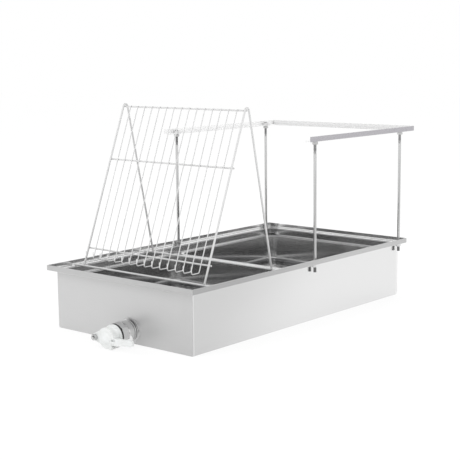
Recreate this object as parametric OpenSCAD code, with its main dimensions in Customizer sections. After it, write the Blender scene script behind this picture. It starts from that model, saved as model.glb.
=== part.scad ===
// Uncapping tank: a shallow stainless tank with two lift-out strainer trays, a lift-off wire rest
// that a comb frame leans on, a raised holder where frames hang to drip, and a drain gate.
// X runs across the tank, Y from the drain end to the rear and Z up, in millimetres.
// The origin is the centre of the tank's underside.

/* [Tank] */
// Outside width of the tank body
tank_w = 450; // [420:5:520]
// Outside length of the tank body
tank_l = 840; // [780:10:1000]
// Height of the rim flange above the underside
tank_h = 146; // [130:1:200]
// Sheet thickness of the tank
sheet_t = 1.5; // [1:0.1:1.9]
// Inside radius of the folds
fold_r = 1; // [0.5:0.1:1.2]
// Width of the out-turned rim
rim_w = 18; // [18:0.5:26]
// Height of the turned-up edge above the rim flange
lip_h = 12; // [8:1:20]

/* [Strainer trays] */
// Depth of each tray from its rim to its underside
tray_depth = 79; // [60:1:100]
// Drop from the tank's rim flange to the tray rims
tray_drop = 19; // [10:1:24]
// Sheet thickness of the trays
tray_t = 1.2; // [0.8:0.1:2]
// Width of the tray rims
tray_rim_w = 8; // [6.5:0.5:14]
// Outside radius of the upright corners
tray_corner_r = 30; // [20:1:60]
// Width of the bottom lip that carries the strainer sheet
tray_lip_w = 12; // [8:1:18]
// Clearance between a tray and the tank wall or the other tray
tray_gap = 1; // [0.5:0.1:2]
// Thickness of the perforated sheet
strainer_t = 1; // [0.6:0.1:2]
// Diameter of the strainer holes
hole_d = 9; // [3:0.5:12]
// Spacing of the strainer holes
hole_pitch = 22; // [16:1:40]
// Reach of the tray ledges from the tank wall
ledge_w = 7; // [5:0.5:7.2]
// Height of the tray ledges
ledge_h = 12; // [6:1:20]
// Sheet thickness of the tray ledges
ledge_t = 1.5; // [1:0.1:3]

/* [Frame holder] */
// Length of the side rails
rail_l = 474; // [380:2:520]
// Reach of the holder behind the tank wall
rail_back = 44; // [32:1:80]
// Height of the rails above the rim flange
rail_up = 307; // [250:1:400]
// Width of the rails' resting flange
rail_w = 20; // [18:0.5:22]
// Height of the rails' upright web
rail_web_h = 13; // [10:0.5:25]
// Thickness of the rails
rail_t = 2; // [1.5:0.1:3]
// Distance from the post axis to the outside of the web
rail_edge = 12.5; // [11:0.5:14]
// Overhang of the side rails in front of the front posts
rail_overhang = 36; // [20:1:60]
// Diameter of the posts
post_d = 8; // [6:0.5:9]
// Distance from the rear posts to the outside of the rear wall
post_inset = 8; // [0:0.5:20]
// Length of the posts' ends below their last nuts
post_tail = 13; // [2:0.5:20]
// Width across the flats of the post nuts
nut_af = 13; // [12:0.5:14]
// Height of the post nuts
nut_h = 6.5; // [4:0.5:8]
// Outside diameter of the post washers
washer_d = 14; // [13:0.25:14.25]
// Thickness of the post washers
washer_t = 1.6; // [1:0.1:2.5]

/* [Frame rest] */
// Width of the rest between the axes of its side rods
rest_w = 402; // [300:1:420]
// Height of the rest's apex above the rim flange
rest_h = 400; // [300:1:480]
// Distance from the front wall to the rest's front foot
rest_inset = 67; // [45:1:90]
// Distance from the front foot back to the apex
rest_lean = 157; // [120:1:200]
// Distance from the front foot back to the rear foot
rest_spread = 246; // [220:1:300]
// Diameter of the side rods
rod_d = 5; // [4:0.5:7]
// Bend radius of the side rods at the apex, on the rod's axis
apex_r = 7; // [5:0.5:14]
// Diameter of the foot bars
foot_bar_d = 5; // [4:0.5:8]
// Diameter of the cross bars
cross_bar_d = 4; // [3:0.25:4]
// Stretch of the cross bars past the side rods
bar_end = 4; // [3:0.5:15]
// Height of the middle cross bar above the front foot
mid_bar_up = 260; // [150:5:280]
// Height of the lower cross bar above the front foot
low_bar_up = 44; // [36:1:80]
// Number of upright wires
wire_count = 15; // [7:1:17]
// Diameter of the upright wires
wire_d = 2.5; // [2:0.25:4]
// Bend radius of the hooks, on the wire's axis
hook_r = 5; // [4:0.5:8]
// Height of the hooks' floor above the front foot
hook_up = 24; // [18:1:30]
// Straight run of the hooks' floor
hook_run = 17; // [10:1:30]
// Height of the hooks' upright tips above their floor
hook_tip = 17; // [12:1:30]

/* [Drain gate] */
// Distance from the tank's middle to the drain axis
drain_x = 26; // [-60:1:60]
// Height of the drain axis at the front wall
drain_z = 31.5; // [31:0.5:60]
// Fall of the drain axis below level
drain_fall = 3.5; // [0:0.5:4]
// Outside diameter of the welded socket
socket_d = 53; // [50:0.5:56]
// Length of the welded socket
socket_l = 26; // [18:1:34]
// Width across the flats of the lock nut
lock_af = 49; // [48:0.5:50]
// Length of the lock nut
lock_l = 20; // [12:1:28]
// Turn of the lock nut
lock_turn = 40; // [0:5:55]
// Diameter of the gate's threaded spigot
spigot_d = 40; // [37:0.5:42]
// Diameter of the gate's bore
bore_d = 32; // [26:0.5:34]
// Thickness of the spigot's seal
seal_t = 4.5; // [3:0.5:6]
// Diameter of the gate body's flange
flange_d = 54; // [52:0.5:54.5]
// Thickness of the gate body's flange
flange_t = 6; // [4:0.5:10]
// Length of the seat between the flange and the blade
seat_l = 12; // [6:0.5:13]
// Diameter of the blade
blade_d = 50; // [48:0.5:51]
// Thickness of the blade
blade_t = 9; // [6:0.5:12]
// Height of the blade's dome
dome_h = 4; // [3:0.5:8]
// Distance from the pivot to the drain axis
pivot_arm = 36; // [35.5:0.5:42]
// Turn of the pivot below the level of the drain axis
pivot_turn = 3; // [0:1:10]
// Radius of the pivot ear
ear_r = 9.5; // [9:0.5:12]
// Diameter of the pivot bolt
pivot_d = 8; // [6:0.5:8]
// Length of the handle from its root to its end
handle_l = 71; // [55:1:95]
// Distance of the handle's root below the drain axis
handle_drop = 7.5; // [4:0.5:8]
// Rise of the handle above level
handle_rise = 5; // [0:1:12]
// Width of the handle at its end
handle_w = 14; // [10:0.5:16]

/* [Hidden] */
$fn = 64;

// Clearances: a cut's overrun, a welded contact, a piece that lifts off its seat, a fit in a bore
overrun = 2;
weld_gap = 0.05;
seat_gap = 0.3;
fit = 0.05;

// Tank: inside faces, rim edges and fold radii
half_w = tank_w / 2;
half_l = tank_l / 2;
in_x = half_w - sheet_t;
in_y = half_l - sheet_t;
rim_x = half_w + rim_w;
rim_y = half_l + rim_w;
lip_top = tank_h + lip_h;
fold_ro = fold_r + sheet_t;
fold_steps = 6;

// Trays: rim, wall and floor, and the ledges below the rims
tray_rim_z = tank_h - tray_drop;
tray_floor_z = tray_rim_z - tray_depth;
tray_y = (in_y - tray_gap / 2) / 2;
tray_rim_l = in_y - tray_gap - tray_gap / 2;
tray_wall_w = 2 * (in_x - tray_gap - tray_rim_w);
tray_wall_l = tray_rim_l - 2 * tray_rim_w;
ledge_z = tray_rim_z - tray_t - seat_gap;
ledge_end = 20;
hole_cols = floor((tray_wall_w - 2 * tray_lip_w - 2 * hole_d) / hole_pitch);
hole_rows = floor((tray_wall_l - 2 * tray_lip_w - 2 * hole_d) / hole_pitch);

// Frame holder: post places, rail edges and stack heights
post_x = half_w + (rim_w - sheet_t) / 2;
rail_rear_y = half_l + rail_back;
rail_front_y = rail_rear_y - rail_l;
post_front_y = rail_front_y + rail_overhang;
post_rear_y = half_l - post_inset;
post_places = [for (x = [-post_x, post_x], y = [post_front_y, post_rear_y]) [x, y]];
rail_z = tank_h + rail_up;
rail_out_x = post_x + rail_edge;
rail_in_x = rail_out_x - rail_w;
rim_under_z = tank_h - sheet_t;
post_bottom_z = rim_under_z - nut_h - post_tail;
post_top_z = rail_z + rail_t + nut_h + washer_t;
bolt_hole_d = post_d + 2 * fit;

// Frame rest: feet on the rim, the apex bend's centre and the lean of the two legs
foot_z = tank_h + seat_gap + foot_bar_d / 2;
front_foot_y = rest_inset - half_l;
rear_foot_y = front_foot_y + rest_spread;
apex_y = front_foot_y + rest_lean;
apex_z = tank_h + rest_h - rod_d / 2 - apex_r;
front_reach = norm([apex_y - front_foot_y, apex_z - foot_z]);
rear_reach = norm([rear_foot_y - apex_y, apex_z - foot_z]);
front_lean = atan2(apex_y - front_foot_y, apex_z - foot_z) - asin(apex_r / front_reach);
rear_lean = atan2(rear_foot_y - apex_y, apex_z - foot_z) - asin(apex_r / rear_reach);
front_leg_l = sqrt(front_reach * front_reach - apex_r * apex_r);
rear_leg_l = sqrt(rear_reach * rear_reach - apex_r * apex_r);
foot_bar_half = half_w + rim_w / 2;
bend_sink = 0.2;
bend_swell = 0.04;

// Offsets behind the front legs' plane of the cross bars and, in front of them, the wires
bar_offset = -(rod_d + cross_bar_d) / 2 - weld_gap;
wire_offset = bar_offset + (cross_bar_d + wire_d) / 2 + weld_gap;
wire_pitch = rest_w / (wire_count + 1);

// Hooks: where a wire leaves the slope, and the centres of its two bends
hook_z = foot_z + hook_up;
hook_start = (hook_up + hook_r - (wire_offset + hook_r) * sin(front_lean)) / cos(front_lean);
hook_back_y = front_foot_y + hook_start * sin(front_lean) - (wire_offset + hook_r) * cos(front_lean);
hook_front_y = hook_back_y - hook_run;

// Drain gate: stations along the drain axis, measured out from the front wall
collar_l = 4;
collar_w = 2;
edge_cut = 1;
spigot_start = 4;
lock_end = socket_l + lock_l;
flange_start = lock_end + seal_t;
seat_end = flange_start + flange_t + seat_l;
blade_start = seat_end + seat_gap;
blade_end = blade_start + blade_t;
arm_t = blade_t - 1;
arm_margin = 2;
link_sink = 0.05;
seat_wall = 6.5;
seal_overlap = 1;
handle_root_w = 18;
handle_root_x = 12;
slot_l = 13;
slot_w = 5;
slot_depth = 5;
slot_inset = 3.5;
dome_margin = 10.5;
dome_sink = 1;
dome_flat = 0.2;
keeper_t = 3.5;
keeper_gap = 0.8;
keeper_lap = 5;
keeper_from = -60;
keeper_sweep = 18;
bolt_head_h = 5;
bolt_tail = 3;
pivot_washer_start = blade_start + arm_t + seat_gap;
pivot_nut_start = pivot_washer_start + washer_t;
pivot_end = pivot_nut_start + nut_h + bolt_tail;
pivot_x = -pivot_arm * cos(pivot_turn);
pivot_y = -pivot_arm * sin(pivot_turn);

// Points along a fold, about its centre, through angles from one to the other
function fold_arc(centre, r, from, to) = [
    for (k = [0:fold_steps])
        let (a = from + (to - from) * k / fold_steps)
            centre + r * [cos(a), sin(a)]
];

// A wall's two faces in section: up its outer face to the turned-up edge, and back down inside
function wall_faces(half) =
    let (
        flange_fold = [half + fold_r, tank_h - fold_ro],
        lip_fold = [half + rim_w - fold_ro, tank_h + fold_r]
    )
    concat(
        fold_arc(flange_fold, fold_r, 180, 90),
        fold_arc(lip_fold, fold_ro, 270, 360),
        [[half + rim_w, lip_top], [half + rim_w - sheet_t, lip_top]],
        fold_arc(lip_fold, fold_r, 360, 270),
        fold_arc(flange_fold, fold_ro, 90, 180)
    );

// An end wall in section
module wall_profile() {
    polygon(concat([[half_l, 0]], wall_faces(half_l), [[in_y, 0]]));
}

// The floor folded up into both long walls in section
module trough_profile() {
    floor_fold = [half_w - fold_ro, fold_ro];
    right = concat(
        fold_arc(floor_fold, fold_ro, 270, 360),
        wall_faces(half_w),
        fold_arc(floor_fold, fold_r, 360, 270)
    );
    left = [for (i = [len(right) - 1:-1:0]) [-right[i][0], right[i][1]]];
    polygon(concat(right, left));
}

// Plans of the sheets, cut at 45 degrees where they meet at the corners
module trough_plan() {
    polygon([
        [-in_x, -in_y],
        [in_x, -in_y],
        [rim_x, -rim_y],
        [rim_x, rim_y],
        [in_x, in_y],
        [-in_x, in_y],
        [-rim_x, rim_y],
        [-rim_x, -rim_y]
    ]);
}

module end_plan() {
    polygon([[-in_x, -in_y], [in_x, -in_y], [rim_x, -rim_y], [-rim_x, -rim_y]]);
}

// The end of the trough as seen along the tank, with the lower corners rounded like the folds
module end_outline() {
    translate([-rim_x, fold_ro])
        square([2 * rim_x, lip_top - fold_ro]);
    translate([fold_ro - half_w, 0])
        square([tank_w - 2 * fold_ro, fold_ro]);
    for (side = [-1, 1])
        translate([side * (half_w - fold_ro), fold_ro])
            circle(r = fold_ro);
}

module tank_trough() {
    color("gainsboro")
        difference() {
            intersection() {
                rotate([90, 0, 0])
                    linear_extrude(2 * rim_y, center = true)
                        trough_profile();
                linear_extrude(lip_top)
                    trough_plan();
            }
            for (p = post_places)
                translate([p[0], p[1], rim_under_z - overrun])
                    cylinder(d = bolt_hole_d, h = sheet_t + 2 * overrun);
        }
}

// An end wall with its rim, at the drain end
module end_panel() {
    intersection() {
        rotate([90, 0, -90])
            linear_extrude(2 * rim_x, center = true)
                wall_profile();
        linear_extrude(lip_top)
            end_plan();
        rotate([90, 0, 0])
            linear_extrude(2 * rim_y, center = true)
                end_outline();
    }
}

module front_panel() {
    color("gainsboro")
        difference() {
            end_panel();
            on_drain(-sheet_t - overrun)
                cylinder(d = spigot_d + 2 * fit, h = sheet_t + 2 * overrun);
        }
}

module rear_panel() {
    color("gainsboro")
        mirror([0, 1, 0])
            end_panel();
}

// An angle along a long wall that a tray's rim hangs on
module ledge(side) {
    color("silver")
        mirror([side < 0 ? 1 : 0, 0, 0])
            rotate([90, 0, 0])
                linear_extrude(2 * (in_y - ledge_end), center = true)
                    polygon([
                        [in_x, ledge_z - ledge_h],
                        [in_x, ledge_z],
                        [in_x - ledge_w, ledge_z],
                        [in_x - ledge_w, ledge_z - ledge_t],
                        [in_x - ledge_t, ledge_z - ledge_t],
                        [in_x - ledge_t, ledge_z - ledge_h]
                    ]);
}

module rounded_plan(w, l, r) {
    square([w, l - 2 * r], center = true);
    square([w - 2 * r, l], center = true);
    for (x = [-1, 1], y = [-1, 1])
        translate([x * (w / 2 - r), y * (l / 2 - r)])
            circle(r = r);
}

// The outline of a tray's wall, drawn in by an inset
module tray_plan(inset) {
    rounded_plan(tray_wall_w - 2 * inset, tray_wall_l - 2 * inset, tray_corner_r - inset);
}

module tray_ring(outset, inset, h) {
    linear_extrude(h)
        difference() {
            tray_plan(-outset);
            tray_plan(inset);
        }
}

module tray_pan(y) {
    color("darkgray")
        translate([0, y, tray_floor_z]) {
            tray_ring(0, tray_lip_w, tray_t);
            tray_ring(0, tray_t, tray_depth);
            translate([0, 0, tray_depth - tray_t])
                tray_ring(tray_rim_w, tray_t, tray_t);
        }
}

// The perforated sheet on the tray's bottom lip, its holes in staggered rows
module strainer(y) {
    color("gray")
        translate([0, y, tray_floor_z + tray_t])
            linear_extrude(strainer_t)
                difference() {
                    tray_plan(tray_t + fit);
                    for (row = [0:hole_rows])
                        for (col = [0:hole_cols - row % 2])
                            translate([
                                (col - (hole_cols - row % 2) / 2) * hole_pitch,
                                (row - hole_rows / 2) * hole_pitch
                            ])
                                circle(d = hole_d);
                }
}

// An angle rail standing on its plan: a resting flange with an upright web along one edge
module angle_rail() {
    color("lightgray")
        translate([0, 0, rail_z])
            difference() {
                union() {
                    linear_extrude(rail_t)
                        children(0);
                    linear_extrude(rail_web_h)
                        intersection() {
                            children(0);
                            children(1);
                        }
                }
                for (p = post_places)
                    translate([p[0], p[1], -overrun])
                        cylinder(d = bolt_hole_d, h = rail_t + 2 * overrun);
            }
}

module side_rail_plan() {
    polygon([
        [rail_in_x, rail_front_y],
        [rail_out_x, rail_front_y],
        [rail_out_x, rail_rear_y],
        [rail_in_x, rail_rear_y - rail_w]
    ]);
}

module side_web_plan() {
    translate([rail_out_x - rail_t, rail_front_y])
        square([rail_t, rail_l]);
}

module rail_right() {
    angle_rail() {
        side_rail_plan();
        side_web_plan();
    }
}

module rail_left() {
    mirror([1, 0, 0])
        rail_right();
}

module rail_rear() {
    angle_rail() {
        polygon([
            [-rail_in_x, rail_rear_y - rail_w],
            [rail_in_x, rail_rear_y - rail_w],
            [rail_out_x, rail_rear_y],
            [-rail_out_x, rail_rear_y]
        ]);
        translate([-rail_out_x, rail_rear_y - rail_t])
            square([2 * rail_out_x, rail_t]);
    }
}

module post(x, y) {
    color("silver")
        translate([x, y, post_bottom_z])
            cylinder(d = post_d, h = post_top_z - post_bottom_z);
}

// A hexagon nut with chamfered corners, standing on its face
module hex_nut(af, h, hole_d) {
    corner_r = af / sqrt(3);
    corner_cut = (corner_r - af / 2) * tan(30);
    difference() {
        intersection() {
            cylinder(r = corner_r, h = h, $fn = 6);
            rotate_extrude()
                polygon([
                    [0, 0],
                    [af / 2, 0],
                    [corner_r, corner_cut],
                    [corner_r, h - corner_cut],
                    [af / 2, h],
                    [0, h]
                ]);
        }
        translate([0, 0, -overrun])
            cylinder(d = hole_d, h = h + 2 * overrun);
    }
}

module post_nuts(z) {
    color("dimgray")
        for (p = post_places)
            translate([p[0], p[1], z])
                rotate(30)
                    hex_nut(nut_af, nut_h, bolt_hole_d);
}

module washer(d, hole_d, t) {
    difference() {
        cylinder(d = d, h = t);
        translate([0, 0, -overrun])
            cylinder(d = hole_d, h = t + 2 * overrun);
    }
}

module post_washers(z) {
    color("silver")
        for (p = post_places)
            translate([p[0], p[1], z])
                washer(washer_d, bolt_hole_d, washer_t);
}

// A round rod between two points of the plane along the tank, at one place across it.
// Its ends run on a little into the bends that it meets.
module rod(x, from, to, d) {
    span = to - from;
    translate([x, from[0], from[1]])
        rotate([-atan2(span[0], span[1]), 0, 0])
            translate([0, 0, -bend_sink])
                cylinder(d = d, h = norm(span) + 2 * bend_sink);
}

// A bend of a rod in the same plane, round a centre, through angles measured from +Y towards +Z.
// The rod swells a little where it is bent.
module bend(x, centre, r, from, to, d) {
    translate([x, centre[0], centre[1]])
        rotate([90, 0, 90])
            rotate(from)
                rotate_extrude(angle = to - from)
                    translate([r, 0])
                        circle(d = d + bend_swell);
}

// A straight bar across the rest
module across(y, z, half, d) {
    translate([-half, y, z])
        rotate([0, 90, 0])
            cylinder(d = d, h = 2 * half);
}

// A place on the front slope: distance up the slope from the front foot and out of its plane
function on_slope(up, out) = [
    front_foot_y + up * sin(front_lean) - out * cos(front_lean),
    foot_z + up * cos(front_lean) + out * sin(front_lean)
];

function up_slope(height) = height / cos(front_lean);

// One bent rod: a front leg, the apex bend and a rear leg, saddled on the foot bars
module rest_side(x) {
    apex = [apex_y, apex_z];
    front_foot = [front_foot_y, foot_z];
    rear_foot = [rear_foot_y, foot_z];
    rear_top = rear_foot + rear_leg_l * [-sin(rear_lean), cos(rear_lean)];
    color("whitesmoke")
        difference() {
            union() {
                rod(x, front_foot, on_slope(front_leg_l, 0), rod_d);
                bend(x, apex, apex_r, rear_lean, 180 - front_lean, rod_d);
                rod(x, rear_foot, rear_top, rod_d);
            }
            across(front_foot_y, foot_z, rest_w, foot_bar_d + 2 * weld_gap);
            across(rear_foot_y, foot_z, rest_w, foot_bar_d + 2 * weld_gap);
        }
}

module cross_bar(up, half) {
    place = on_slope(up, bar_offset);
    color("whitesmoke")
        across(place[0], place[1], half, cross_bar_d);
}

module foot_bar(y) {
    color("whitesmoke")
        across(y, foot_z, foot_bar_half, foot_bar_d);
}

// One upright wire, its lower end turned forward and up into a hook
module rest_wire(i) {
    x = i * wire_pitch - rest_w / 2;
    back = [hook_back_y, hook_z + hook_r];
    front = [hook_front_y, hook_z + hook_r];
    color("whitesmoke") {
        rod(x, on_slope(hook_start, wire_offset), on_slope(front_leg_l + wire_d / 2, wire_offset), wire_d);
        bend(x, back, hook_r, -90, -front_lean, wire_d);
        rod(x, [hook_back_y, hook_z], [hook_front_y, hook_z], wire_d);
        bend(x, front, hook_r, -180, -90, wire_d);
        rod(x, [hook_front_y - hook_r, hook_z + hook_r], [hook_front_y - hook_r, hook_z + hook_tip], wire_d);
    }
}

// Places a piece on the falling drain axis, at a distance out from the front wall
module on_drain(out) {
    translate([drain_x, -half_l, drain_z])
        rotate([90 + drain_fall, 0, 0])
            translate([0, 0, out])
                children();
}

// The turned socket, its foot cut square to the front wall
module drain_socket() {
    hole_r = spigot_d / 2 + fit;
    outer_r = socket_d / 2;
    foot = (outer_r + collar_w) * tan(drain_fall) + edge_cut;
    color("silver")
        difference() {
            on_drain(0)
                rotate_extrude()
                    polygon([
                        [hole_r, -foot],
                        [outer_r + collar_w, -foot],
                        [outer_r + collar_w, collar_l - edge_cut],
                        [outer_r, collar_l],
                        [outer_r, socket_l - edge_cut],
                        [outer_r - edge_cut, socket_l],
                        [hole_r, socket_l]
                    ]);
            translate([-half_w, -half_l, 0])
                cube([tank_w, 2 * foot, tank_h]);
        }
}

module lock_nut() {
    color("silver")
        on_drain(socket_l)
            rotate(lock_turn)
                hex_nut(lock_af, lock_l, spigot_d + 2 * fit);
}

module spigot_seal() {
    color("black")
        on_drain(lock_end)
            washer(flange_d + seal_overlap, spigot_d + 2 * fit, seal_t);
}

// Two circles on the local X axis joined by straight sides that end a hair inside them
module tapered_link(near_r, far_r, reach) {
    a = acos((near_r - far_r) / abs(reach));
    way = reach < 0 ? 180 : 0;
    near_side_r = near_r - link_sink;
    far_side_r = far_r - link_sink;
    circle(r = near_r);
    translate([reach, 0])
        circle(r = far_r);
    rotate(way)
        polygon([
            near_side_r * [cos(a), sin(a)],
            [abs(reach), 0] + far_side_r * [cos(a), sin(a)],
            [abs(reach), 0] + far_side_r * [cos(a), -sin(a)],
            near_side_r * [cos(a), -sin(a)]
        ]);
}

// The moulded body: threaded spigot, flange, round seat, pivot ear and the keeper below the blade
module gate_body() {
    keeper_r = blade_d / 2 + keeper_gap;
    keeper_z = blade_end + seat_gap;
    color("white")
        on_drain(0)
            difference() {
                union() {
                    translate([0, 0, spigot_start])
                        cylinder(d = spigot_d, h = flange_start - spigot_start);
                    translate([0, 0, flange_start])
                        cylinder(d = flange_d, h = flange_t);
                    translate([0, 0, flange_start])
                        cylinder(d = bore_d + 2 * seat_wall, h = seat_end - flange_start);
                    translate([0, 0, flange_start])
                        linear_extrude(seat_end - flange_start)
                            rotate(pivot_turn)
                                tapered_link(bore_d / 2 + seat_wall, ear_r, -pivot_arm);
                    rotate(keeper_from)
                        rotate_extrude(angle = keeper_sweep)
                            polygon([
                                [flange_d / 2 - keeper_t, flange_start],
                                [keeper_r + keeper_t, flange_start],
                                [keeper_r + keeper_t, keeper_z + keeper_t],
                                [keeper_r - keeper_lap, keeper_z + keeper_t],
                                [keeper_r - keeper_lap, keeper_z],
                                [keeper_r, keeper_z],
                                [keeper_r, flange_start + flange_t],
                                [flange_d / 2 - keeper_t, flange_start + flange_t]
                            ]);
                }
                cylinder(d = bore_d, h = seat_end + overrun);
                translate([pivot_x, pivot_y, flange_start - overrun])
                    cylinder(d = pivot_d + 2 * fit, h = seat_end - flange_start + 2 * overrun);
            }
}

// The outline of a slot with round ends along the local X axis
module slot_plan(l, w) {
    for (side = [-1, 1])
        translate([side * (l - w) / 2, 0])
            circle(d = w);
    square([l - w, w], center = true);
}

// The blade that closes the bore: a domed disc with a pivot ear and a handle with a slot at its root
module gate_blade() {
    dome_r = blade_d / 2 - dome_margin;
    dome_ball_r = (dome_r * dome_r + dome_h * dome_h) / (2 * dome_h);
    tip_r = handle_w / 2;
    color("white")
        on_drain(blade_start)
            difference() {
                union() {
                    cylinder(d = blade_d, h = blade_t);
                    linear_extrude(arm_t)
                        rotate(pivot_turn)
                            tapered_link(blade_d / 2 - arm_margin, ear_r, -pivot_arm);
                    linear_extrude(arm_t)
                        translate([handle_root_x, -handle_drop])
                            rotate(handle_rise)
                                tapered_link(handle_root_w / 2, tip_r, handle_l - tip_r);
                    intersection() {
                        translate([0, 0, blade_t + dome_h - dome_ball_r])
                            sphere(r = dome_ball_r);
                        translate([0, 0, blade_t - dome_sink])
                            cylinder(d = blade_d, h = dome_sink + dome_h - dome_flat);
                    }
                }
                translate([pivot_x, pivot_y, -overrun])
                    cylinder(d = pivot_d + 2 * fit, h = blade_t + 2 * overrun);
                translate([blade_d / 2 - slot_inset, -slot_w / 2, blade_t - slot_depth])
                    linear_extrude(slot_depth + overrun)
                        slot_plan(slot_l, slot_w);
            }
}

module pivot_bolt() {
    color("silver")
        on_drain(0)
            translate([pivot_x, pivot_y, flange_start - bolt_head_h]) {
                cylinder(r = nut_af / sqrt(3), h = bolt_head_h, $fn = 6);
                cylinder(d = pivot_d, h = pivot_end - flange_start + bolt_head_h);
            }
}

module pivot_washer() {
    color("silver")
        on_drain(pivot_washer_start)
            translate([pivot_x, pivot_y, 0])
                washer(washer_d, pivot_d + 2 * fit, washer_t);
}

module pivot_nut() {
    color("silver")
        on_drain(pivot_nut_start)
            translate([pivot_x, pivot_y, 0])
                hex_nut(nut_af, nut_h, pivot_d + 2 * fit);
}

tank_trough();
front_panel();
rear_panel();
ledge(-1);  // ledge_left
ledge(1);  // ledge_right
tray_pan(-tray_y);  // front_tray_pan
strainer(-tray_y);  // front_strainer
tray_pan(tray_y);  // rear_tray_pan
strainer(tray_y);  // rear_strainer
rail_left();
rail_right();
rail_rear();
post(-post_x, post_front_y);  // post_front_left
post(-post_x, post_rear_y);  // post_rear_left
post(post_x, post_front_y);  // post_front_right
post(post_x, post_rear_y);  // post_rear_right
post_nuts(rail_z + rail_t);  // rail_top_nuts
post_nuts(rail_z - washer_t - nut_h);  // rail_under_nuts
post_washers(rail_z - washer_t);  // rail_washers
post_nuts(tank_h + washer_t);  // rim_top_nuts
post_nuts(rim_under_z - nut_h);  // rim_under_nuts
post_washers(tank_h);  // rim_washers
rest_side(-rest_w / 2);  // rest_side_left
rest_side(rest_w / 2);  // rest_side_right
cross_bar(front_leg_l, (rest_w + rod_d) / 2);  // rest_top_bar
cross_bar(up_slope(mid_bar_up), rest_w / 2 + bar_end);  // rest_mid_bar
cross_bar(up_slope(low_bar_up), rest_w / 2 + bar_end);  // rest_low_bar
foot_bar(front_foot_y);  // rest_front_foot
foot_bar(rear_foot_y);  // rest_rear_foot
for (i = [1:wire_count])
    rest_wire(i);
drain_socket();
lock_nut();
spigot_seal();
gate_body();
gate_blade();
pivot_bolt();
pivot_washer();
pivot_nut();
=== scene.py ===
"""The looks of a stainless uncapping tank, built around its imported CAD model.

Lengths are in millimetres in the CAD's frame and become metres when a mesh is made. The floor, the
lamps and the camera are placed in metres.
"""

import math

import bmesh
import bpy
from mathutils import Matrix, Vector


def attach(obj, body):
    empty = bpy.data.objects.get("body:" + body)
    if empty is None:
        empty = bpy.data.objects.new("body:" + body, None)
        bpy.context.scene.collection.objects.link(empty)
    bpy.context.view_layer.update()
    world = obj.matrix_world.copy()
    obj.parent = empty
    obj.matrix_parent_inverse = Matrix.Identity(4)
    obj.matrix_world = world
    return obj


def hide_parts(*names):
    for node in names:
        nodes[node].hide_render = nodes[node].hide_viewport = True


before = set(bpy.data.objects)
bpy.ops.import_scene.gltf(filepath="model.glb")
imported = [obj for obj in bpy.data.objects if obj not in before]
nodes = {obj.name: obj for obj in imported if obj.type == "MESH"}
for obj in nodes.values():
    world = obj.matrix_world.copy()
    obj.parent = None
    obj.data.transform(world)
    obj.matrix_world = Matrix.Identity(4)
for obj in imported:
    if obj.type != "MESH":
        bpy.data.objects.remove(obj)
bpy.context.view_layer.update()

MM = 0.001
WHITE = (1.0, 1.0, 1.0, 1.0)

# Tank
HALF_W, HALF_L, TANK_H = 225.0, 420.0, 146.0
SHEET_T, RIM_W, LIP_H = 1.5, 18.0, 12.0
RIM_X, RIM_Y, LIP_TOP = HALF_W + RIM_W, HALF_L + RIM_W, TANK_H + LIP_H

# Trays
TRAY_RIM_Z, TRAY_DEPTH, TRAY_T, TRAY_Y = 127.0, 79.0, 1.2, 209.0
TRAY_HALF_W, TRAY_HALF_L, TRAY_RIM_W, TRAY_CORNER = 222.5, 208.5, 8.0, 38.0
RIM_BEND, FLOOR_BEND, FLOOR_LIP = 3.0, 14.0, 10.0
WALL_IN = TRAY_RIM_W + TRAY_T
STRAINER_T, STRAINER_GAP = 1.0, 0.4
HOLE_D, HOLE_PITCH, HOLE_COLS, HOLE_ROWS, HOLE_STEPS = 9.0, 22.0, 17, 16, 16

# Frame holder
POST_X, POST_FRONT_Y, POST_REAR_Y, POST_R = 233.25, 26.0, 412.0, 4.0
POST_BOTTOM, POST_TOP, LOWER_THREAD_L, UPPER_THREAD_L = 125.0, 463.1, 32.0, 42.0
RAIL_Z, RAIL_T, RAIL_W, RAIL_WEB_H = 453.0, 2.0, 20.0, 13.0
RAIL_OUT_X, RAIL_REAR_Y = 245.75, 464.0

# Screw threads
THREAD_PITCH, THREAD_DEPTH, THREAD_STEPS, THREAD_ROWS = 1.5, 0.55, 16, 4
ROD_END_L, ROD_END_IN, ROD_SLACK = 0.7, 0.6, 0.02

# Frame rest
REST_HALF_W, ROD_D, WIRE_COUNT = 201.0, 5.0, 15
FOOT_Z, FRONT_FOOT_Y, REAR_FOOT_Y = 148.8, -353.0, -107.0
APEX_Y, APEX_Z, APEX_R = -196.0, 536.5, 7.0
MID_UP, LOW_UP = 260.0, 44.0
REACH = math.hypot(APEX_Y - FRONT_FOOT_Y, APEX_Z - FOOT_Z)
LEAN = math.atan2(APEX_Y - FRONT_FOOT_Y, APEX_Z - FOOT_Z) - math.asin(APEX_R / REACH)
LEG_L = math.sqrt(REACH * REACH - APEX_R * APEX_R)

# Drain gate, measured out from the front wall along the falling drain axis
DRAIN_X, DRAIN_Z, DRAIN_FALL = 26.0, 31.5, math.radians(3.5)
PIVOT_AWAY, PIVOT_TURN = 36.0, math.radians(3.0)
PIVOT_X, PIVOT_Y = -PIVOT_AWAY * math.cos(PIVOT_TURN), -PIVOT_AWAY * math.sin(PIVOT_TURN)
PIVOT_R, PIVOT_HEAD, PIVOT_END, PIVOT_THREAD_FROM = 4.0, 45.5, 88.2, 28.0
HEAD_R, HEAD_H, HEAD_EDGE, HEAD_CHAMFER_R, HEAD_CHAMFER_H = 7.5, 5.0, 0.1, 0.7, 0.6

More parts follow.
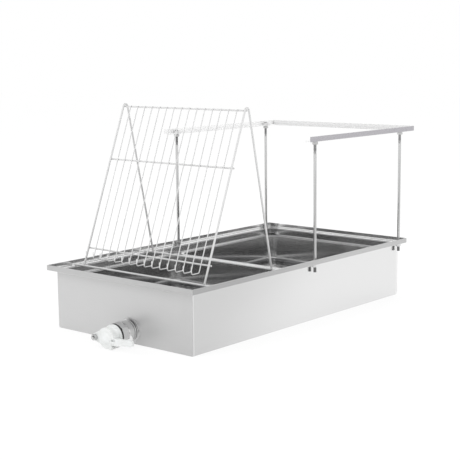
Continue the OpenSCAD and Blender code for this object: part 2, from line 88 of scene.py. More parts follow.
# Drain socket: its section as (radius, distance out), where the weld is out from the upright wall
BORE_R, SOCKET_R, GROOVE_R, COLLAR_R, WELD_R = 20.05, 26.5, 25.6, 28.5, 30.3
WALL_GAP, SOCKET_L, SOCKET_STEPS = 0.02, 25.95, 64
WELD_SECTION = [(BORE_R, WALL_GAP), (WELD_R, WALL_GAP), (30.0, 0.6), (29.3, 1.0), (28.55, 1.15)]
COLLAR_SECTION = [(COLLAR_R, 3.2), (28.1, 3.8), (25.9, 4.0)]
NEAR_GROOVE_SECTION = [(GROOVE_R, 4.4), (GROOVE_R, 5.0), (SOCKET_R, 5.4)]
FAR_GROOVE_SECTION = [(SOCKET_R, 9.1), (GROOVE_R, 9.4), (GROOVE_R, 10.2), (SOCKET_R, 10.5)]
END_SECTION = [(SOCKET_R, 24.9), (26.2, 25.6), (25.6, SOCKET_L), (BORE_R, SOCKET_L)]

# Weld beads on the tank and the rails
SEAM_BEAD_R, MITRE_BEAD_R = 0.8, 0.7
SEAM_IN, SEAM_FROM, SEAM_TO = 0.3, 5.0, TANK_H - 5.0
MITRE_FROM, MITRE_TO = 3.5, RIM_W - 4.0
LIP_SEAM_FROM, LIP_SEAM_TO = TANK_H + 3.0, LIP_TOP - 0.4
RAIL_MITRE_FROM, RAIL_MITRE_TO = RAIL_W - 1.0, 3.0
RAIL_SEAM_FROM, RAIL_SEAM_TO = RAIL_Z + RAIL_T + 1.0, RAIL_Z + RAIL_WEB_H - 0.5

# Weld spots on the rest: half-lengths across, along and out of what they join
WIRE_SPOT, ROD_SPOT, FOOT_SPOT = (1.9, 2.1, 0.9), (2.6, 2.7, 1.3), (3.6, 3.1, 3.1)
FOOT_SPOT_UP, FRONT_SPOT_LEAN, REAR_SPOT_LEAN = 1.4, 0.4, -0.2
SPOT_SPREAD, SPOT_STEP, SPOT_ROW_STEP = 0.12, 7.3, 2.1


def turns(steps):
    """The angles of equal steps once round."""
    return [2 * math.pi * i / steps for i in range(steps)]


def add_object(name, data):
    """A new object in the scene."""
    made = bpy.data.objects.new(name, data)
    bpy.context.scene.collection.objects.link(made)
    return made


class Shape:
    """Points and faces of one mesh, in millimetres."""

    def __init__(self, points=(), faces=()):
        self.points = list(points)
        self.faces = list(faces)

    def skin(self, rings, closed=False, caps=False):
        """Joins rings of equally many points. A closed skin joins its last ring to its first."""
        first, size = len(self.points), len(rings[0])
        for ring in rings:
            self.points += [tuple(p) for p in ring]
        for i in range(len(rings) if closed else len(rings) - 1):
            a, b = first + i * size, first + (i + 1) % len(rings) * size
            for j in range(size):
                k = (j + 1) % size
                self.faces.append((a + j, a + k, b + k, b + j))
        if caps:
            last = first + (len(rings) - 1) * size
            self.faces.append(tuple(first + j for j in range(size)))
            self.faces.append(tuple(last + j for j in reversed(range(size))))

    def bead(self, start, stop, radius, steps=8, ripple=0.12, pitch=1.6, tip=0.35):
        """A straight weld bead with fine ripples and tapered ends."""
        start, stop = Vector(start), Vector(stop)
        length = (stop - start).length
        way = (stop - start).normalized()
        side = way.orthogonal().normalized()
        up = way.cross(side)
        count = max(2, int(length / pitch * 2))
        rings = []
        for i in range(count + 1):
            at = start.lerp(stop, i / count)
            run = length * i / count
            taper = min(1.0, tip + min(run, length - run) / (2 * radius))
            r = radius * taper * (1 + ripple * math.sin(2 * math.pi * run / pitch))
            rings.append([at + (side * math.cos(t) + up * math.sin(t)) * r for t in turns(steps)])
        self.skin(rings, caps=True)

    def blob(self, at, axes, steps=10, rows=6, fullness=0.85):
        """A squashed drop of weld metal: axes holds three half-length vectors."""
        a, b, c = (Vector(v) for v in axes)
        at = Vector(at)
        rings = []
        for i in range(1, rows):
            lift = math.pi * i / rows
            r, h = math.sin(lift) ** fullness, math.cos(lift)
            rings.append(
                [at + a * (r * math.cos(t)) + b * (r * math.sin(t)) + c * h for t in turns(steps)]
            )
        self.skin(rings, caps=True)

    def piece(self, name, body, finish, sharp_from=35.0, stands_for=()):
        """Makes the mesh an object that rides on a body. Edges are sharp from an angle in degrees."""
        mesh = bpy.data.meshes.new(name)
        mesh.from_pydata([tuple(c * MM for c in p) for p in self.points], [], self.faces)
        work = bmesh.new()
        work.from_mesh(mesh)
        bmesh.ops.recalc_face_normals(work, faces=work.faces)
        work.to_mesh(mesh)
        work.free()
        mesh.shade_smooth()
        mesh.set_sharp_from_angle(angle=math.radians(sharp_from))
        mesh.materials.append(finish)
        made = add_object(name, mesh)
        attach(made, body)
        if stands_for:
            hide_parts(*stands_for)


class Nodes:
    """The node tree of a material or a world, with short names for the nodes that it is made of."""

    def __init__(self, owner, blank=True):
        owner.use_nodes = True
        self.tree = owner.node_tree
        if blank:
            self.tree.nodes.clear()
        self.places = self.node("ShaderNodeTexCoord").outputs

    def node(self, kind, sockets=(), **settings):
        """A new node, with its settings made and its sockets fed."""
        made = self.tree.nodes.new(kind)
        for key, value in settings.items():
            setattr(made, key, value)
        for key, value in dict(sockets).items():
            self.feed(made.inputs[key], value)
        return made

    def feed(self, socket, value):
        """Links a socket to another one, or sets its constant."""
        if isinstance(value, bpy.types.NodeSocket):
            self.tree.links.new(value, socket)
        else:
            socket.default_value = value

    def math(self, kind, a, b=0.0):
        return self.node("ShaderNodeMath", {0: a, 1: b}, operation=kind).outputs["Value"]

    def span(self, value, low, high, start=0.3, stop=0.7, curve="LINEAR"):
        """Maps a value from one range onto another."""
        sockets = {"Value": value, "From Min": start, "From Max": stop, "To Min": low, "To Max": high}
        return self.node("ShaderNodeMapRange", sockets, interpolation_type=curve).outputs["Result"]

    def along(self, axis, kind="Object"):
        """A place's coordinate along one axis."""
        return self.node("ShaderNodeSeparateXYZ", {"Vector": self.places[kind]}).outputs[axis]

    def shown(self):
        """1 for rays that show what they meet: camera, glossy and transmission rays."""
        path = self.node("ShaderNodeLightPath").outputs
        either = self.math("MAXIMUM", path["Is Camera Ray"], path["Is Glossy Ray"])
        return self.math("MAXIMUM", either, path["Is Transmission Ray"])

    def end_with(self, output, share, first, second):
        """Ends the tree with the second shader mixed into the first."""
        mix = self.node("ShaderNodeMixShader", {"Fac": share, 1: first, 2: second})
        self.node(output, {"Surface": mix.outputs["Shader"]})


class Finish(Nodes):
    """A procedural material: noise, mixes and bump on one shader."""

    def __init__(self, name):
        self.material = bpy.data.materials.new(name)
        super().__init__(self.material, blank=False)
        self.shader = self.tree.nodes["Principled BSDF"]

    def shade(self, **values):
        """Feeds the shader's own sockets."""
        for key, value in values.items():
            self.feed(self.shader.inputs[key.replace("_", " ")], value)

    def noise(self, scale, detail=3.0, rough=0.55):
        spread = self.node("ShaderNodeMapping", {"Vector": self.places["Object"], "Scale": scale})
        made = self.node(
            "ShaderNodeTexNoise",
            {"Vector": spread.outputs["Vector"], "Scale": 1.0, "Detail": detail, "Roughness": rough},
        )
        return made.outputs["Fac"]

    def mix(self, share, a, b):
        sockets = {"Factor": share, 6: a, 7: b}
        return self.node("ShaderNodeMix", sockets, data_type="RGBA").outputs[2]

    def bump(self, height, depth, strength):
        sockets = {"Height": height, "Distance": depth * MM, "Strength": strength}
        self.shade(Normal=self.node("ShaderNodeBump", sockets).outputs["Normal"])


def grey(level):
    return (level, level, level, 1.0)


def even(scale):
    return (scale, scale, scale)


# Noise scales per metre: low along the grain and high across it
ALONG_Y = (420.0, 5.0, 420.0)
ALONG_X = (5.0, 420.0, 420.0)
ALONG_Z = (300.0, 300.0, 6.0)
ALL_WAYS = even(260.0)
COARSE = even(30.0)
FINE_SCALE = 3.1

GRAIN_DEPTH, MOTTLE_DEPTH = 0.05, 0.06
SMOOTH_SHARE, ROUGH_SHARE, WAXY_SHARE, DULL_SHARE = 0.8, 1.3, 0.85, 1.2
MOTTLE_SHARES = (0.93, 0.93, 0.92)


def steel(name, grain, tone, rough, spread=0.05, parts=(), clouds=6.0, bump=0.05, metal=1.0):
    """Brushed or drawn steel: streaks along the grain, faint clouds, and masked parts of another tone,
    which are mostly painted light and shade.
    """
    made = Finish(name)
    streaks = made.noise(grain, detail=4.0)
    fine = made.noise(tuple(FINE_SCALE * g for g in grain), detail=2.0)
    cloud = made.noise(even(clouds))
    total = made.math("ADD", streaks, made.math("ADD", fine, cloud))
    level = made.span(made.math("MULTIPLY", total, 1 / 3), 0.0, 1.0, start=0.36, stop=0.64)
    colour = made.mix(level, grey(tone * (1 - spread)), grey(min(1.0, tone * (1 + spread))))
    for part_colour, mask in parts:
        colour = made.mix(mask(made), colour, part_colour)
    made.shade(Base_Color=colour, Metallic=metal)
    wear = made.math("ADD", cloud, fine)
    made.shade(Roughness=made.span(wear, rough * SMOOTH_SHARE, rough * ROUGH_SHARE, start=0.7, stop=1.3))
    made.bump(made.math("ADD", streaks, fine), GRAIN_DEPTH, bump)
    return made.material


def plastic(name, tone, rough):
    """Moulded plastic: faint mottling, a waxy surface and fine unevenness."""
    made = Finish(name)
    mottle = made.noise(even(60.0))
    grain = made.noise(even(900.0), detail=2.0)
    light = (*tone, 1.0)
    dark = (*(t * share for t, share in zip(tone, MOTTLE_SHARES)), 1.0)
    made.shade(Base_Color=made.mix(made.span(mottle, 0.0, 1.0), dark, light))
    made.shade(Roughness=made.span(grain, rough * WAXY_SHARE, rough * DULL_SHARE), IOR=1.5)
    made.bump(made.math("ADD", mottle, grain), MOTTLE_DEPTH, strength=0.3)
    return made.material


def rubber(name):
    """Dark rubber with a little dust."""
    made = Finish(name)
    dust = made.noise(even(120.0))
    grain = made.noise(even(1400.0), detail=2.0)
    made.shade(Base_Color=made.mix(made.span(dust, 0.0, 1.0), grey(0.025), grey(0.055)))
    made.shade(Roughness=made.span(grain, 0.55, 0.8))
    made.bump(grain, GRAIN_DEPTH, strength=0.4)
    return made.material


def above(z):
    """A mask of what lies higher than z."""
    return lambda made: made.math("GREATER_THAN", made.along("Z"), z * MM)


def below(z):
    """A mask of what lies lower than z."""
    return lambda made: made.math("LESS_THAN", made.along("Z"), z * MM)


def beyond(axis, distance):
    """A mask of what lies farther than a distance from the middle, to either side."""
    return lambda made: made.math("GREATER_THAN", made.math("ABSOLUTE", made.along(axis)), distance * MM)


def either(mask_a, mask_b):
    """A mask of what one mask or the other covers."""
    return lambda made: made.math("MAXIMUM", mask_a(made), mask_b(made))


def drain_span(low, high):
    """A mask of what lies between two distances from the front wall along the drain axis."""
    axis = (0.0, -math.cos(DRAIN_FALL), -math.sin(DRAIN_FALL))
    start = Vector(axis).dot(Vector((DRAIN_X, -HALF_L, DRAIN_Z)) * MM)

    def mask(made):
        sockets = {0: made.places["Object"], 1: axis}
        out = made.node("ShaderNodeVectorMath", sockets, operation="DOT_PRODUCT").outputs["Value"]
        past_low = made.math("GREATER_THAN", out, start + low * MM)
        return made.math("MULTIPLY", past_low, made.math("LESS_THAN", out, start + high * MM))

    return mask


# How far a mask reaches in from the surface that it marks, or down from the rail or the rim
CORNER_IN, RIM_IN, RIM_EDGE_IN, RAIL_EDGE_IN, TRAY_RIM_IN = 5.0, 0.8, 0.5, 0.4, 0.5
UPPER_THREADS_DOWN, LOWER_THREADS_DOWN = 24.0, 4.0
COLLAR_SPAN, NEAR_GROOVE_SPAN, FAR_GROOVE_SPAN = (-3.0, 4.0), (4.0, 5.3), (9.2, 10.4)

# Painted highlight: a lighter strip up each end of the side sheet, along the corner folds.
corner_highlight = beyond("Y", HALF_L - CORNER_IN)
# Painted highlight: the top of the rim, lighter than the sheets below it.
rim_highlight = above(TANK_H - RIM_IN)
# Painted shade: the outer faces of the rim's lip, darker than the walls below.
rim_edge_shade = either(beyond("X", RIM_X - RIM_EDGE_IN), beyond("Y", RIM_Y - RIM_EDGE_IN))
# Painted shade: the rails' outer faces and edges, darker than their inner faces.
rail_edge_shade = either(beyond("X", RAIL_OUT_X - RAIL_EDGE_IN), beyond("Y", RAIL_REAR_Y - RAIL_EDGE_IN))
# Painted highlight: the tops of the trays' rims, lighter than their walls.
tray_rim_highlight = above(TRAY_RIM_Z - TRAY_RIM_IN)
# Painted shade: the posts' upper threads darker, and their lower ends below the rim's top darker still.
upper_thread_shade = above(RAIL_Z - UPPER_THREADS_DOWN)
lower_thread_shade = below(TANK_H - LOWER_THREADS_DOWN)
collar = drain_span(*COLLAR_SPAN)
# Painted shade: the socket's two grooves are darker. The collar and the weld at the socket's foot are
# coloured darker too.
near_groove_shade = drain_span(*NEAR_GROOVE_SPAN)
far_groove_shade = drain_span(*FAR_GROOVE_SPAN)

# Parts of a finish with a colour set by a mask, where a later one covers an earlier one. Most of them are
# painted light and shade, as said where each mask is made.
# Painted shade: the colours of the rails' outer faces and of the socket's grooves.
WEB_SHADE, GROOVE_SHADE = (0.44, 0.43, 0.455, 1.0), grey(0.22)
SIDE_PARTS = [(grey(0.93), corner_highlight), (grey(0.97), rim_highlight), (grey(0.54), rim_edge_shade)]
END_PARTS = [(grey(0.88), rim_highlight), (grey(0.52), rim_edge_shade)]
REAR_PARTS = [(grey(0.95), rim_highlight), (grey(0.54), rim_edge_shade)]
TRAY_PARTS = [(grey(0.93), tray_rim_highlight)]
RAIL_PARTS = [(WEB_SHADE, rail_edge_shade)]
POST_PARTS = [(grey(0.45), upper_thread_shade), (grey(0.2), lower_thread_shade)]
SOCKET_PARTS = [(grey(0.6), collar), (GROOVE_SHADE, near_groove_shade), (GROOVE_SHADE, far_groove_shade)]

# The side, end and rear sheets are one steel, and so are the two kinds of rail. Their different tones are
# painted light and shade: the long sides and side rails lighter, the end and rear sheets and the rear rail
# darker.
FINISH = {
    "side": steel("side_sheet", ALONG_Y, tone=0.8, rough=0.2, spread=0.01, parts=SIDE_PARTS, bump=0.01),
    "end": steel(
        "end_sheet", ALONG_X, tone=0.61, rough=0.36, spread=0.006, parts=END_PARTS, bump=0.004, metal=0.5
    ),
    "rear": steel("rear_sheet", ALONG_X, tone=0.62, rough=0.15, spread=0.01, parts=REAR_PARTS, bump=0.01),
    "tray": steel(
        "tray_sheet", COARSE, tone=0.6, rough=0.1, spread=0.03, parts=TRAY_PARTS, clouds=9.0, bump=0.01
    ),
    "rail": steel(
        "rail_strip", ALONG_Y, tone=0.93, rough=0.3, spread=0.01, parts=RAIL_PARTS, bump=0.003, metal=0.1
    ),
    "rear_rail": steel(
        "rear_rail_strip",
        ALONG_X,
        tone=0.8,
        rough=0.3,
        spread=0.01,
        parts=RAIL_PARTS,
        bump=0.003,
        metal=0.1,
    ),
    "post": steel("post_rod", ALONG_Z, tone=0.66, rough=0.22, parts=POST_PARTS),
    "rod": steel("bright_rod", ALL_WAYS, tone=0.74, rough=0.25, bump=0.01, metal=0.15),
    "wire": steel("drawn_wire", ALL_WAYS, tone=0.83, rough=0.25, bump=0.01, metal=0.3),
    "bolt": steel("turned_metal", ALL_WAYS, tone=0.62, rough=0.22, spread=0.1),
    "nut": steel("bright_nut", ALL_WAYS, tone=0.82, rough=0.25),
    "socket": steel(
        "turned_socket", ALL_WAYS, tone=0.92, rough=0.1, spread=0.03, parts=SOCKET_PARTS, bump=0.01
    ),
    "weld": steel("weld_metal", ALL_WAYS, tone=0.7, rough=0.3, spread=0.12, bump=0.1),
    "nylon": plastic("white_moulding", tone=(0.85, 0.865, 0.865), rough=0.42),
    "rubber": rubber("seal_rubber"),
}

NODE_FINISH = {
    "tank_trough": "side",
    "front_panel": "end",
    "rear_panel": "rear",
    "ledge_left": "side",
    "ledge_right": "side",
    "rail_left": "rail",
    "rail_right": "rail",
    "rail_rear": "rear_rail",
    "rail_top_nuts": "nut",
    "rim_under_nuts": "nut",
    "lock_nut": "socket",
    "spigot_seal": "rubber",
    "gate_body": "nylon",
    "gate_blade": "nylon",
}
NODE_BEVEL = {
    "rail_left": 0.4,
    "rail_right": 0.4,
    "rail_rear": 0.4,
    "gate_body": 0.9,
    "gate_blade": 1.2,
    "spigot_seal": 0.8,
    "lock_nut": 0.5,
}
FINE_BEVEL, BEVEL_STEPS, BEVEL_FROM, WELD_REACH = 0.25, 2, math.radians(35.0), 0.001


def finish_of(name):
    """A CAD node's finish: its own, or the one that wires, rods or small hardware share."""
    if name.startswith("rest_"):
        return "wire" if name.startswith("rest_wire") else "rod"
    return NODE_FINISH.get(name, "bolt")


def dress(name, node):
    """Gives a CAD node its finish, merges its split points and softens its edges."""
    node.data.materials.clear()
    node.data.materials.append(FINISH[finish_of(name)])
    weld = node.modifiers.new("weld", "WELD")
    weld.merge_threshold = WELD_REACH * MM
    bevel = node.modifiers.new("edges", "BEVEL")
    bevel.width = NODE_BEVEL.get(name, FINE_BEVEL) * MM
    bevel.segments = BEVEL_STEPS
    bevel.limit_method = "ANGLE"
    bevel.angle_limit = BEVEL_FROM


def rounded_ring(half_w, half_l, radius, y, z, steps=12):
    """Points round a rectangle with rounded corners and its middle at y."""
    ring = []
    for quarter, (sx, sy) in enumerate([(1, 1), (-1, 1), (-1, -1), (1, -1)]):
        cx, cy = sx * (half_w - radius), sy * (half_l - radius)
        for i in range(steps + 1):
            a = math.pi / 2 * (quarter + i / steps)
            ring.append((cx + radius * math.cos(a), cy + radius * math.sin(a) + y, z))
    return ring


def tray_ring(inset, y, z):
    """A ring that follows a tray's outline at an inset from its rim's edge."""
    return rounded_ring(TRAY_HALF_W - inset, TRAY_HALF_L - inset, TRAY_CORNER - inset, y, z)


def arc(centre, radius, start, stop, steps):
    """Points of an arc between two angles in degrees."""
    angles = [math.radians(start + (stop - start) * i / steps) for i in range(steps + 1)]
    return [(centre[0] + radius * math.cos(a), centre[1] + radius * math.sin(a)) for a in angles]


def tray_profile():
    """A drawn pan's section as (inset from the rim's edge, height): rim, wall, rounded foot and lip."""
    foot = TRAY_RIM_Z - TRAY_DEPTH
    rim_bend = (WALL_IN - RIM_BEND, TRAY_RIM_Z - RIM_BEND)
    floor_bend = (WALL_IN + FLOOR_BEND, foot + TRAY_T + FLOOR_BEND)
    lip_end = WALL_IN + FLOOR_BEND + FLOOR_LIP
    half_t = TRAY_T / 2
    return (
        arc((half_t, TRAY_RIM_Z - half_t), half_t, 270, 90, steps=6)
        + arc(rim_bend, RIM_BEND, 90, 0, steps=6)
        + arc(floor_bend, FLOOR_BEND, 180, 270, steps=10)
        + arc((lip_end, foot + half_t), half_t, 90, -90, steps=6)
        + arc(floor_bend, FLOOR_BEND + TRAY_T, 270, 180, steps=10)
        + arc(rim_bend, RIM_BEND - TRAY_T, 0, 90, steps=6)
    )


def tray_pan(name, body, y):
    """A drawn pan with a rolled edge and rounded folds."""
    shape = Shape()
    shape.skin([tray_ring(inset, y, z) for inset, z in tray_profile()], closed=True)
    shape.piece(name + "_drawn", body, FINISH["tray"], stands_for=[name])


def hole_rings(y, z):
    """Rings round a strainer's holes, in rows that are shifted by turns."""
    rings = []
    for row in range(HOLE_ROWS + 1):
        cols = HOLE_COLS - row % 2
        cy = (row - HOLE_ROWS / 2) * HOLE_PITCH + y
        for col in range(cols + 1):
            cx = (col - cols / 2) * HOLE_PITCH
            r = HOLE_D / 2
            rings.append([(cx + r * math.cos(a), cy + r * math.sin(a), z) for a in turns(HOLE_STEPS)])
    return rings


def filled(rings):
    """Points and triangles of a flat sheet with an outline and holes."""
    work = bmesh.new()
    edges = []
    for ring in rings:
        verts = [work.verts.new(p) for p in ring]
        edges += [work.edges.new((a, b)) for a, b in zip(verts, verts[1:] + verts[:1])]
    bmesh.ops.triangle_fill(work, use_beauty=True, edges=edges)
    work.verts.index_update()
    points = [tuple(v.co) for v in work.verts]
    faces = [tuple(v.index for v in f.verts) for f in work.faces]
    work.free()
    return points, faces


def strainer(name, body, y):
    """The perforated sheet on a pan's lip: a flat filling, its copy above, and the walls between."""
    low = TRAY_RIM_Z - TRAY_DEPTH + TRAY_T
    rings = [tray_ring(WALL_IN + FLOOR_BEND + STRAINER_GAP, y, low)] + hole_rings(y, low)
    points, faces = filled(rings)
    count = len(points)
    raised = [(px, py, pz + STRAINER_T) for px, py, pz in points]
    shape = Shape(points + raised, faces + [tuple(count + i for i in reversed(f)) for f in faces])
    first = 0
    for ring in rings:
        for i in range(len(ring)):
            a, b = first + i, first + (i + 1) % len(ring)
            shape.faces.append((a, b, count + b, count + a))
        first += len(ring)
    shape.piece(name + "_sheet", body, FINISH["tray"], stands_for=[name])


def threaded_rod(shape, place, radius, length, spans):
    """A rod along a local axis from 0 to its length, with a screw thread over each span."""
    step = THREAD_PITCH / THREAD_ROWS
    heights = {0.0, ROD_END_L, length - ROD_END_L, length}
    for low, high in spans:
        heights |= {low + step * i for i in range(int((high - low) / step) + 1)}
    rings = []
    for h in sorted(x for x in heights if 0 <= x <= length):
        cut = 0.0
        for low, high in spans:
            if low <= h <= high:
                cut = THREAD_DEPTH * min(1.0, (h - low) / THREAD_PITCH, (high - h) / THREAD_PITCH)
        end = ROD_END_IN if h in (0.0, length) else 0.0
        ring = []
        for j, a in enumerate(turns(THREAD_STEPS)):
            phase = (h / THREAD_PITCH - j / THREAD_STEPS) % 1.0
            r = radius - max(end, cut * abs(2 * phase - 1))
            ring.append(place(r * math.cos(a), r * math.sin(a), h))
        rings.append(ring)
    shape.skin(rings, caps=True)


def post(name, x, y):
    """A post of the frame holder, threaded at both ends."""
    length = POST_TOP - POST_BOTTOM
    shape = Shape()
    threaded_rod(
        shape,
        lambda px, py, h: (x + px, y + py, POST_BOTTOM + h),
        POST_R - ROD_SLACK,
        length,
        [(0.0, LOWER_THREAD_L), (length - UPPER_THREAD_L, length)],
    )
    shape.piece(
        name + "_threaded",
        "tank",
        FINISH["post"],
        sharp_from=50.0,
        stands_for=[name],
    )


def on_drain(x, y, out):
    """A place by the drain axis: to the right and up as seen from the front, and out from the wall."""
    ahead = HALF_L + out * math.cos(DRAIN_FALL) + y * math.sin(DRAIN_FALL)
    return (DRAIN_X + x, -ahead, DRAIN_Z + y * math.cos(DRAIN_FALL) - out * math.sin(DRAIN_FALL))


def on_wall(x, y, out):
    """A place by the drain axis, out from where the upright wall is at that height."""
    return on_drain(x, y, out - y * math.tan(DRAIN_FALL))


def ring_round(place, radius, out, steps):
    """Points round an axis, at a radius and a distance out along it."""
    return [place(radius * math.cos(a), radius * math.sin(a), out) for a in turns(steps)]


def drain_socket():
    """A turned socket with a weld round its foot, a collar and two grooves."""
    rings = [ring_round(on_wall, r, out, SOCKET_STEPS) for r, out in WELD_SECTION]
    turned = COLLAR_SECTION + NEAR_GROOVE_SECTION + FAR_GROOVE_SECTION + END_SECTION
    rings += [ring_round(on_drain, r, out, SOCKET_STEPS) for r, out in turned]
    shape = Shape()
    shape.skin(rings, closed=True)
    shape.piece(
        "drain_socket_turned",
        "tank",
        FINISH["socket"],
        sharp_from=30.0,
        stands_for=["drain_socket"],
    )


def pivot_bolt():
    """The gate's pivot: a hexagon head with a chamfer and a threaded end."""

    def at(x, y, h):
        return on_drain(PIVOT_X + x, PIVOT_Y + y, PIVOT_HEAD + h)

    head = [
        (HEAD_R - HEAD_CHAMFER_R, 0.0),
        (HEAD_R, HEAD_CHAMFER_H),
        (HEAD_R, HEAD_H - HEAD_EDGE),
        (HEAD_R - HEAD_EDGE, HEAD_H),
    ]
    shaft_l = PIVOT_END - PIVOT_HEAD - HEAD_H
    shape = Shape()
    shape.skin([ring_round(at, r, h, steps=6) for r, h in head], caps=True)
    threaded_rod(
        shape,
        lambda x, y, h: at(x, y, HEAD_H + h),
        PIVOT_R - ROD_SLACK,
        shaft_l,
        [(PIVOT_THREAD_FROM, shaft_l)],
    )
    shape.piece(
        "pivot_bolt_threaded",
        "tank",
        FINISH["bolt"],
        sharp_from=50.0,
        stands_for=["pivot_bolt"],
    )


def on_slope(x, up, out):
    """A place on the rest's front slope: up from the front foot and out of its plane."""
    y = FRONT_FOOT_Y + up * math.sin(LEAN) - out * math.cos(LEAN)
    return Vector((x, y, FOOT_Z + up * math.cos(LEAN) + out * math.sin(LEAN)))


def rest_welds():
    """Spots of weld metal where the wires and rods cross the bars, and collars at the feet."""
    shape = Shape()
    across = Vector((1, 0, 0))
    slope = Vector((0, math.sin(LEAN), math.cos(LEAN)))
    out = Vector((0, -math.cos(LEAN), math.sin(LEAN)))
    seam_out = -ROD_D / 2
    pitch = 2 * REST_HALF_W / (WIRE_COUNT + 1)
    wide, long, high = WIRE_SPOT
    rod_spot = [way * half for way, half in zip((across, slope, out), ROD_SPOT)]
    foot_wide, foot_long, foot_high = FOOT_SPOT
    for row, up in enumerate([MID_UP / math.cos(LEAN), LOW_UP / math.cos(LEAN), LEG_L]):
        for i in range(1, WIRE_COUNT + 1):
            lump = 1 + SPOT_SPREAD * math.sin(SPOT_STEP * i + SPOT_ROW_STEP * row)
            at = on_slope(i * pitch - REST_HALF_W, up, seam_out)
            shape.blob(at, (across * wide * lump, slope * long, out * high))
        for side in (-1, 1):
            shape.blob(on_slope(side * REST_HALF_W, up, seam_out), rod_spot)
    for side in (-1, 1):
        for y, lean in ((FRONT_FOOT_Y, FRONT_SPOT_LEAN), (REAR_FOOT_Y, REAR_SPOT_LEAN)):
            at = Vector((side * REST_HALF_W, y + FOOT_SPOT_UP * lean, FOOT_Z + FOOT_SPOT_UP))
            shape.blob(at, (across * foot_wide, Vector((0, foot_long, 0)), Vector((0, lean, foot_high))))
    shape.piece("rest_welds", "rest", FINISH["weld"], sharp_from=60.0)


def tank_welds():
    """Weld beads up the tank's corners, along the rim's mitres and at the rail corners."""
    shape = Shape()

    def tank_corner(sx, sy, out, z):
        return (sx * (HALF_W + out), sy * (HALF_L + out), z)

    def rail_corner(sx, inset, z):
        return (sx * (RAIL_OUT_X - inset), RAIL_REAR_Y - inset, z)

    for sx in (-1, 1):
        for sy in (-1, 1):
            for start, stop, radius in (
                ((-SEAM_IN, SEAM_FROM), (-SEAM_IN, SEAM_TO), SEAM_BEAD_R),
                ((MITRE_FROM, TANK_H), (MITRE_TO, TANK_H), MITRE_BEAD_R),
                ((RIM_W - SHEET_T, LIP_SEAM_FROM), (RIM_W - SHEET_T, LIP_SEAM_TO), MITRE_BEAD_R),
            ):
                shape.bead(tank_corner(sx, sy, *start), tank_corner(sx, sy, *stop), radius)
        for start, stop, radius in (
            ((RAIL_MITRE_FROM, RAIL_Z + RAIL_T), (RAIL_MITRE_TO, RAIL_Z + RAIL_T), MITRE_BEAD_R),
            ((RAIL_T, RAIL_SEAM_FROM), (RAIL_T, RAIL_SEAM_TO), SEAM_BEAD_R),
        ):
            shape.bead(rail_corner(sx, *start), rail_corner(sx, *stop), radius)
    shape.piece("tank_welds", "tank", FINISH["weld"], sharp_from=60.0)


# Studio, in metres. The sky has a colour at two heights of the line of sight, of which 1 is overhead.
WORLD_LIGHT = 0.85
SKY = [(0.22, WHITE), (0.60, (0.2, 0.2, 0.205, 1.0))]
FLOOR_HALF, FLOOR_DROP, FLOOR_COLOUR = 12.0, 0.0006, grey(0.9)
FLOOR_GLOW, FLOOR_GLOW_SHARE = 1.05, 0.82
MIRROR_DIM, MIRROR_SLANT, MIRROR_FROM, MIRROR_TO = 0.32, 1.6, -0.9, -0.35

# The photograph's viewpoint, fitted to the tank's straight edges
CAMERA_PLACE = Vector((1.9201, -2.2628, 0.6819))
CAMERA_YAW, CAMERA_PITCH, CAMERA_ROLL = math.radians(40.655), math.radians(8.977), math.radians(-0.603)
CAMERA_LENS, CAMERA_SENSOR, CAMERA_REACH = 90.25, 36.0, 100.0


def light_world():
    """Soft light from all round. What is seen of it is white at the horizon and greyer overhead."""
    world = bpy.data.worlds.new("studio")
    bpy.context.scene.world = world
    made = Nodes(world)
    ramp = made.node("ShaderNodeValToRGB", {"Fac": made.along("Z", "Generated")})
    for element, (height, colour) in zip(ramp.color_ramp.elements, SKY):
        element.position = height
        element.color = colour
    light = made.node("ShaderNodeBackground", {"Color": WHITE, "Strength": WORLD_LIGHT})
    seen = made.node("ShaderNodeBackground", {"Color": ramp.outputs["Color"]})
    shaders = light.outputs["Background"], seen.outputs["Background"]
    made.end_with("ShaderNodeOutputWorld", made.shown(), *shaders)


def floor_material():
    """Shows white and keeps a soft shadow. In mirrors it is dimmer to the right of the tank."""
    material = bpy.data.materials.new("pale_floor")
    made = Nodes(material)
    slant = made.math("SUBTRACT", made.along("Y"), made.math("MULTIPLY", made.along("X"), MIRROR_SLANT))
    dim = made.span(slant, MIRROR_DIM, 0.0, MIRROR_FROM, MIRROR_TO, "SMOOTHSTEP")
    mirrored = made.node("ShaderNodeLightPath").outputs["Is Glossy Ray"]
    strength = made.math("SUBTRACT", FLOOR_GLOW, made.math("MULTIPLY", mirrored, dim))
    lit = made.node("ShaderNodeBsdfDiffuse", {"Color": FLOOR_COLOUR})
    glow = made.node("ShaderNodeEmission", {"Strength": strength})
    share = made.math("MULTIPLY", made.shown(), FLOOR_GLOW_SHARE)
    made.end_with("ShaderNodeOutputMaterial", share, lit.outputs["BSDF"], glow.outputs["Emission"])
    return material


def lay_floor():
    """A pale floor a hair below the tank's base."""
    mesh = bpy.data.meshes.new("floor")
    corners = [(sx * FLOOR_HALF, sy * FLOOR_HALF, 0) for sx, sy in ((-1, -1), (1, -1), (1, 1), (-1, 1))]
    mesh.from_pydata(corners, [], [(0, 1, 2, 3)])
    mesh.materials.append(floor_material())
    floor = add_object("floor", mesh)
    floor.location.z = -FLOOR_DROP


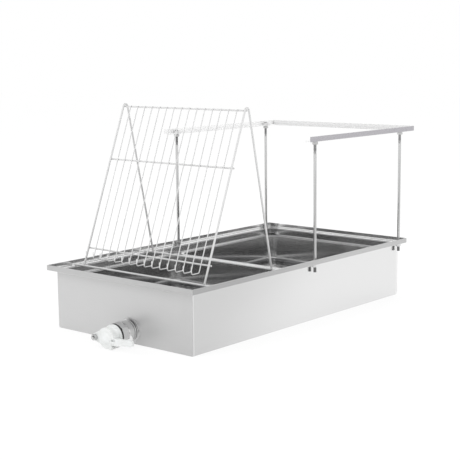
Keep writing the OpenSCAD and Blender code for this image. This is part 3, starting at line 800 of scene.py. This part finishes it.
def lamp(name, place, aim, size, power):
    """A soft rectangular lamp that mirrors don't show."""
    data = bpy.data.lights.new(name, "AREA")
    data.shape = "RECTANGLE"
    data.size, data.size_y = size
    data.energy = power
    made = add_object(name, data)
    made.location = place
    made.visible_glossy = False
    made.rotation_mode = "QUATERNION"
    made.rotation_quaternion = (Vector(aim) - Vector(place)).to_track_quat("-Z", "Y")


def aim_camera():
    """A camera at the photograph's viewpoint."""
    yaw, pitch, roll = CAMERA_YAW, CAMERA_PITCH, CAMERA_ROLL
    ahead = Vector((-math.sin(yaw) * math.cos(pitch), math.cos(yaw) * math.cos(pitch), -math.sin(pitch)))
    right = Vector((math.cos(yaw), math.sin(yaw), 0.0))
    up = right.cross(ahead)
    rolled_right = right * math.cos(roll) + up * math.sin(roll)
    rolled_up = up * math.cos(roll) - right * math.sin(roll)
    data = bpy.data.cameras.new("camera")
    data.sensor_width = CAMERA_SENSOR
    data.lens = CAMERA_LENS
    data.clip_end = CAMERA_REACH
    camera = add_object("camera", data)
    turn = Matrix((rolled_right, rolled_up, -ahead)).transposed()
    camera.matrix_world = Matrix.Translation(CAMERA_PLACE) @ turn.to_4x4()
    bpy.context.scene.camera = camera


for node_name, node_object in nodes.items():
    dress(node_name, node_object)
tray_pan("front_tray_pan", "front_tray", -TRAY_Y)
tray_pan("rear_tray_pan", "rear_tray", TRAY_Y)
strainer("front_strainer", "front_tray", -TRAY_Y)
strainer("rear_strainer", "rear_tray", TRAY_Y)
for hand, post_x in (("left", -POST_X), ("right", POST_X)):
    post("post_front_" + hand, post_x, POST_FRONT_Y)
    post("post_rear_" + hand, post_x, POST_REAR_Y)
drain_socket()
pivot_bolt()
rest_welds()
tank_welds()

light_world()
lay_floor()
lamp("key", place=(-1.6, -3.0, 2.8), aim=(0.0, 0.0, 0.2), size=(2.2, 2.2), power=40.0)
lamp("fill", place=(3.4, -0.6, 2.2), aim=(0.0, 0.0, 0.2), size=(2.0, 2.4), power=22.0)
lamp("top", place=(0.0, 1.2, 3.4), aim=(0.0, 0.0, 0.1), size=(2.6, 2.0), power=22.0)
aim_camera()
bpy.context.scene.view_settings.view_transform = "Standard"
